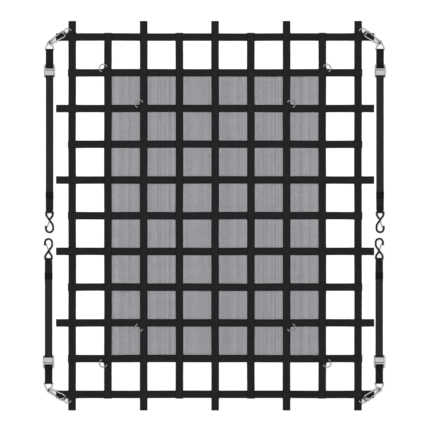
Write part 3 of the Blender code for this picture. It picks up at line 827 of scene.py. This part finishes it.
def deltaShape():
    half, bend = delta["half"], delta["bend"]
    ring = filleted([(-half, 0, bend), (half, 0, bend), (0, delta["high"], delta["tip"])], 15)
    ring = refilled(np.vstack([ring, ring[:1]]), delta["step"])[:-1]
    return wire(ring, delta["wire"], delta["wireSides"], closed=True)


def makeLinks():
    body, gate, triangle = carabinerShape(), gateShape(), deltaShape()
    for name, corner in corners.items():
        turn = Euler([math.radians(a) for a in corner["turn"]]).to_matrix().to_4x4()
        place = fromCorner(corner["side"]) @ Matrix.Translation(corner["carabiner"]) @ turn
        addPiece(f"snap_body_{name}", placed(body, place), zinc, nodes=[f"carabiner_{name}"])
        addPiece(f"snap_gate_{name}", placed(gate, place), zinc, f"gate_{name}",
                 nodes=[f"gate_{name}"])
        bar = Matrix.Translation((corner["strap"], corner["deltaBar"], deltaBarHigh))
        place = fromCorner(corner["side"]) @ bar @ degrees(corner["deltaUp"], "X")
        addPiece(f"delta_ring_{name}", placed(triangle, place), zinc, nodes=[f"delta_{name}"])
    print("the carabiners join the D-rings to the delta rings")


makeLinks()


# Corner straps. Places along them count from the buckle's end, towards the S-hook.

cornerStrap = {
    "barBack": 0.0759,  # from the buckle's end back to the delta ring's bar
    "anchor": (0.009, 0.009), "anchorRadius": 0.003,  # the bar, along and up
    "hookWire": 0.0047, "hookBarHigh": 0.00655,
    "hookTurn": (-90, 113), "deltaTurn": (-90, -295), "anchorTurn": (126, -80), "turnSteps": 14,
    "onBase": 0.0023,  # height of the strap on the buckle's base
    "base": (0.0225, 0.0645), "ramp": (0.0105, 0.0135),  # level there, and down over these lengths
    "cut": (-0.006, -0.0065),  # where the long strap ends and the short one starts
    "fold": 0.110, "foldStep": (0.003, 0.010),  # folded back, and the step down
    "neck": (-0.022, -0.002), "neckBack": (-0.0205, -0.023),  # before the hook's bar, and behind it
    "gather": (  # past the hook's bar, and how wide the strap is there
        (-0.030, 0.038), (-0.022, 0.0378), (-0.012, 0.0362), (-0.0046, 0.034), (-0.002, 0.0285),
        (0.0006, 0.0254),
    ),
    "barAhead": 0.002, "backFlat": 0.010,  # before the delta ring's bar, and behind it
    "backStep": (-0.016, -0.010, -0.003), "backEnd": (-0.004, -0.009),  # on the buckle, and its end
    "band": (0.066, 0.101),  # the keeper band, counted back from the hook's bar
    "bandLow": 0.00045, "bandOut": 0.0004, "bandHalf": 0.00035, "bandRound": 0.0012,
    "shortSeams": ((-0.0619, -0.0459), (-0.040, -0.022)), "hookSeam": (-0.062, -0.036),
}


def strapFrame(corner):  # carries (along, across, height) of a corner strap into place
    x, y = corner["strap"], corner["deltaBar"] - cornerStrap["barBack"]
    return fromCorner(corner["side"]) @ Matrix(((0, -1, 0, x), (-1, 0, 0, y), (0, 0, 1, 0), (0, 0, 0, 1)))


# From the end folded back at the S-hook, round the hook's bar and through the buckle.
def longStrapLine(hook):
    c, flat, second = cornerStrap, halfWeb, layer + halfWeb
    onBase = c["onBase"] + halfWeb
    hookBar = roundBar((hook, c["hookBarHigh"]), c["hookWire"], c["hookTurn"], c["turnSteps"])
    foldEnd, (stepStart, stepEnd) = hook - c["fold"], c["foldStep"]
    return np.concatenate([
        eased([(foldEnd, flat), (hook + c["neck"][0], flat), (hook + c["neck"][1], flat)], 0.003),
        hookBar,
        refilled([tuple(hookBar[-1]), (hook + c["neckBack"][0], second + 0.0001)], 0.003)[1:],
        eased([(hook + c["neckBack"][1], second), (foldEnd - stepStart, second),
               (foldEnd - stepEnd, flat), (c["base"][1] + c["ramp"][1], flat),
               (c["base"][1], onBase), (c["base"][0], onBase),
               (c["base"][0] - c["ramp"][0], flat), (c["cut"][0], flat)]),
    ])


# From under the buckle to the delta ring, round its bar, and back round the buckle's anchor bar.
def shortStrapLine():
    c, bar = cornerStrap, -cornerStrap["barBack"]
    flat, second, third = (k * layer + halfWeb for k in range(3))
    stepStart, stepEnd, levelEnd = c["backStep"]
    return np.concatenate([
        eased([(c["cut"][1], flat), (bar + c["barAhead"], flat)]),
        roundBar((bar, deltaBarHigh), delta["wire"], c["deltaTurn"], c["turnSteps"]),
        eased([(bar + c["backFlat"], second), (stepStart, second), (stepEnd, third), (levelEnd, third)]),
        roundBar(c["anchor"], c["anchorRadius"], c["anchorTurn"], c["turnSteps"]),
        eased([(along, second) for along in c["backEnd"]]),
    ])


# The keeper band: a flat loop round both layers. Its half thickness falls off to its edges as the
# square root of 1 - along^6.
def keeperBand(hook):
    c = cornerStrap
    half, high = net["wide"] / 2 + c["bandOut"], layer + web + c["bandOut"]
    low, bend = c["bandLow"], c["bandRound"]
    loop = filleted([(half, low, bend), (half, high, bend), (-half, high, bend), (-half, low, bend)], 30)
    first, last = hook - c["band"][1], hook - c["band"][0]
    t = np.linspace(0, 1, 9)
    edge = np.column_stack([first + (last - first) * t, c["bandHalf"] * np.sqrt(1 - (2 * t - 1) ** 6)])
    section = np.concatenate([edge, edge[-2:0:-1] * np.array([1, -1])])
    band = swept(np.column_stack([np.zeros(len(loop)), loop]), (1, 0, 0), section, closed=True)
    along = section[:, 0] - first
    band["uv"] = np.tile(np.column_stack([along, along]), (len(loop), 1))
    return band


def makeCornerStraps():
    c, seams = cornerStrap, []
    section, across = webSection(1.0)
    short = shortStrapLine()
    for name, corner in corners.items():
        place, hook = strapFrame(corner), corner["hook"]
        for kind, line, look in zip(("long", "short"), (longStrapLine(hook), short), (strapWeb, shortWeb)):
            wide = np.interp(line[:, 0] - hook, *np.transpose(c["gather"]))
            sections = section * np.column_stack([wide, np.ones(len(line))])[:, None]
            shape = ribbon(line, sections, across * net["wide"])
            nodes = [f"webbing_{name}"]
            piece = addPiece(f"{kind}_strap_{name}", placed(shape, place), look, nodes=nodes)
        addPiece(f"keeper_band_{name}", placed(keeperBand(hook), place), elastic)
        for start, end in (*c["shortSeams"], (hook + c["hookSeam"][0], hook + c["hookSeam"][1])):
            box = boxSeams(sewing["endWide"], (end - start) / 2)
            high = layer + web + sewing["lift"]
            seams.append(placed(sewn(box, (start + end) / 2, 0, high, math.pi / 2), place))
    addPiece("sewing_corner_straps", joined(seams), thread)
    print("the corner straps are threaded")


makeCornerStraps()


# Cam buckles

buckle = {
    "half": 0.0245, "cheek": 0.002, "base": (0.0235, 0.0625), "baseLow": 0.0002,
    "axle": (0.050, 0.012), "axleRadius": 0.003, "leverHalf": 0.02175, "leverRound": 0.0006,
    "seat": 0.0004,  # the base and the axle reach this far into the cheeks
    "barEnd": (0.0006, 0.0022),  # the anchor bar's end: past the cheek, radius
    "axleHead": ((0.0002, 0.0030), (0.0009, 0.0024), (0.0010, 0.0010)),  # past the cheek, radius
    "frameEdge": 0.0004, "leverEdge": 0.0003,
    "cheekOutline": (  # along the strap, height, and the radius of each corner
        (0.0235, 0.0002, 0.001), (0.0180, 0.0030, 0.002), (0.0020, 0.0030, 0.001), (0.0, 0.0055, 0.002),
        (0.0, 0.0120, 0.003), (0.0035, 0.0155, 0.003), (0.0280, 0.0165, 0.020), (0.0420, 0.0200, 0.008),
        (0.0540, 0.0200, 0.004), (0.0610, 0.0150, 0.006), (0.0655, 0.0070, 0.003), (0.0650, 0.0025, 0.001),
        (0.0625, 0.0002, 0.001),
    ),
    "leverOutline": (  # the cam, then the plate and its lip
        (0.0495, 0.0042), (0.0530, 0.0046), (0.0560, 0.0070), (0.0570, 0.0110), (0.0565, 0.0150),
        (0.0535, 0.0175), (0.0440, 0.0186), (0.0300, 0.0200), (0.0266, 0.0234), (0.0215, 0.0240),
        (0.0200, 0.0230), (0.0205, 0.0218), (0.0245, 0.0214), (0.0275, 0.0184), (0.0430, 0.0160),
        (0.0445, 0.0120), (0.0462, 0.0066),
    ),
}


def plate(outline, start, end):  # an outline (along, height), from start to end across
    outline = np.asarray(outline, float)
    count = len(outline)
    sides = [np.column_stack([outline[:, 0], np.full(count, w), outline[:, 1]]) for w in (start, end)]
    faces = gridFaces(2, count, False, True) + [list(range(count)), list(range(count, 2 * count))]
    return {"points": np.concatenate(sides), "faces": faces}


def crossRod(along, height, stations, radii):  # a turned bar across the strap
    line = np.column_stack([np.full(len(stations), along), stations, np.full(len(stations), height)])
    return swept(line, (0, 0, 1), circle(radii, 20))


def frameShape():  # two cheeks, the base between them and the anchor bar through them
    b, half, inner = buckle, buckle["half"], buckle["half"] - buckle["cheek"]
    cheek = filleted(b["cheekOutline"], 20)
    first, last = b["base"]
    base = [(first, b["baseLow"]), (last, b["baseLow"]), (last, b["cheek"]), (first, b["cheek"])]
    past, small = b["barEnd"]
    stations, bar = [-half - past, -half, half, half + past], cornerStrap["anchorRadius"]
    return joined([
        plate(cheek, inner, half), plate(cheek, -half, -inner),
        plate(base, -inner - b["seat"], inner + b["seat"]),
        crossRod(*cornerStrap["anchor"], stations, [small, bar, bar, small]),
    ])


def leverShape():  # the cam with its plate, and the axle's two heads
    b = buckle
    outline = filleted([(s, z, b["leverRound"]) for s, z in b["leverOutline"]], 30)
    past, radii = np.transpose([(-b["cheek"] - b["seat"], b["axleRadius"]), *b["axleHead"]])
    heads = [crossRod(*b["axle"], (b["half"] + past) * way, radii) for way in (-1, 1)]
    return joined([plate(outline, -b["leverHalf"], b["leverHalf"]), *heads])


def makeBuckles():
    cage, lever = frameShape(), leverShape()
    for name, corner in corners.items():
        place = strapFrame(corner)
        addPiece(f"cam_frame_{name}", placed(cage, place), frameMetal,
                 nodes=[f"buckle_{name}"], bevel=buckle["frameEdge"])
        addPiece(f"cam_lever_{name}", placed(lever, place), leverPlate, f"lever_{name}",
                 nodes=[f"lever_{name}"], bevel=buckle["leverEdge"])
    print("the cam buckles are on")


makeBuckles()


# S-hooks

sHook = {
    "wire": 0.0047, "barHigh": 0.00655, "tilt": 0.96, "step": 0.004, "sides": 16,
    "bends": (  # across, along, radius
        (0.0043, 0.0358, 0), (0.0163, 0.0175, 0.010), (0.0176, 0.0, 0.0050), (-0.0176, 0.0, 0.0050),
        (-0.0163, 0.0185, 0.014), (0.0180, 0.0665, 0.020), (0.0180, 0.1026, 0.0170),
        (-0.0168, 0.1026, 0.0165), (-0.0190, 0.0716, 0),
    ),
    "end": ((0.0006, 0.9), (0.0012, 0.55)),  # past the end, share of the wire
}
keeper = {  # a hairpin of spring wire from the shank's crossing to the inside of the tip
    "from": (0.0008, 0.0455), "to": (-0.0122, 0.0780), "half": 0.0013, "tip": 0.0010, "bend": 0.0010,
    "wire": 0.0009, "high": 0.0012,
}


def pastEnd(end, before, distances):  # points past the end of a line, straight on
    way = (end - before) / np.linalg.norm(end - before)
    return end + way * distances[:, None]


def hookShape():
    h = sHook
    line = refilled(filleted(h["bends"], 10), h["step"])
    past, share = np.transpose(h["end"])
    start, tip = pastEnd(line[0], line[1], past)[::-1], pastEnd(line[-1], line[-2], past)
    radii = h["wire"] * np.concatenate([share[::-1], np.ones(len(line)), share])
    return wire(np.vstack([start, line, tip]), radii, h["sides"])


def keeperShape():
    k = keeper
    start, tip = np.array(k["from"]), np.array(k["to"])
    way = (tip - start) / np.linalg.norm(tip - start)
    off = np.array([-way[1], way[0]]) * k["half"]
    pin = [(start + off, 0), (tip + off, k["bend"]), (tip + way * k["tip"], 0), (tip - off, k["bend"]),
           (start - off, 0)]
    line = refilled(filleted([(*point, radius) for point, radius in pin], 30), sHook["step"])
    return wire(line, k["wire"], 8, k["high"])


def makeHooks():
    hook, spring = hookShape(), keeperShape()
    for name, corner in corners.items():
        lay = Matrix(((0, 1, 0, corner["hook"]), (1, 0, 0, 0), (0, 0, 1, sHook["barHigh"]), (0, 0, 0, 1)))
        place = strapFrame(corner) @ lay @ degrees(-sHook["tilt"], "X")
        addPiece(f"s_hook_{name}", placed(hook, place), blackVinyl, nodes=[f"hook_{name}"])
        addPiece(f"hook_keeper_{name}", placed(spring, place), springSteel)
    print("the S-hooks are in the strap ends")


makeHooks()


# Floor, light and camera

studio = {
    "dark": 0.8712, "light": 0.88, "gloss": 0.1, "floorHalf": 9, "floorLow": -0.0004,  # the floor paper
    "zenith": 0.30, "horizon": 0.06, "zenithFrom": 0.9,
    "boxPower": 425, "boxPlace": (-0.35, 0.5, 4.2), "boxSize": 8.0,
    "frameWide": 2.167, "imageRight": 0.0035, "imageUp": 0.0035, "distance": 9.0, "clipEnd": 100,
}


def makeStudio():
    s = studio
    look = newLook("floor_paper")
    paper = look.finished(s, look.shade(look.noise(3, 2), s), 0.9)
    half, low = s["floorHalf"], s["floorLow"]
    mesh = bpy.data.meshes.new("floor")
    ends = [(-half, -half, low), (half, -half, low), (half, half, low), (-half, half, low)]
    mesh.from_pydata(ends, [], [(0, 1, 2, 3)])
    mesh.materials.append(paper)
    inScene("floor", mesh)
    # a sky that is brighter overhead, and one large softbox
    world = bpy.data.worlds.new("studio")
    sky = Look(world)
    high = sky.node("SeparateXYZ", {}, {0: sky.node("TexCoord", output="Generated")}, "Z")
    strength = sky.rise(high, 0.0, s["zenithFrom"], s["horizon"], s["zenith"], "LINEAR")
    sky.connect(sky.tree.nodes["Background"], {"Color": (1, 1, 1, 1), "Strength": strength})
    bpy.context.scene.world = world
    bpy.context.scene.view_settings.view_transform = "Standard"
    light = bpy.data.lights.new("softbox", "AREA")
    light.energy, light.size = s["boxPower"], s["boxSize"]
    inScene("softbox", light).location = s["boxPlace"]  # it faces down as it is made
    camera = inScene("camera", bpy.data.cameras.new("camera"))  # and so does this
    camera.location = (s["imageRight"], s["imageUp"], s["distance"])
    camera.data.lens = camera.data.sensor_width * s["distance"] / s["frameWide"]
    camera.data.clip_end = s["clipEnd"]
    bpy.context.scene.camera = camera
    print("floor, light and camera are set")


makeStudio()
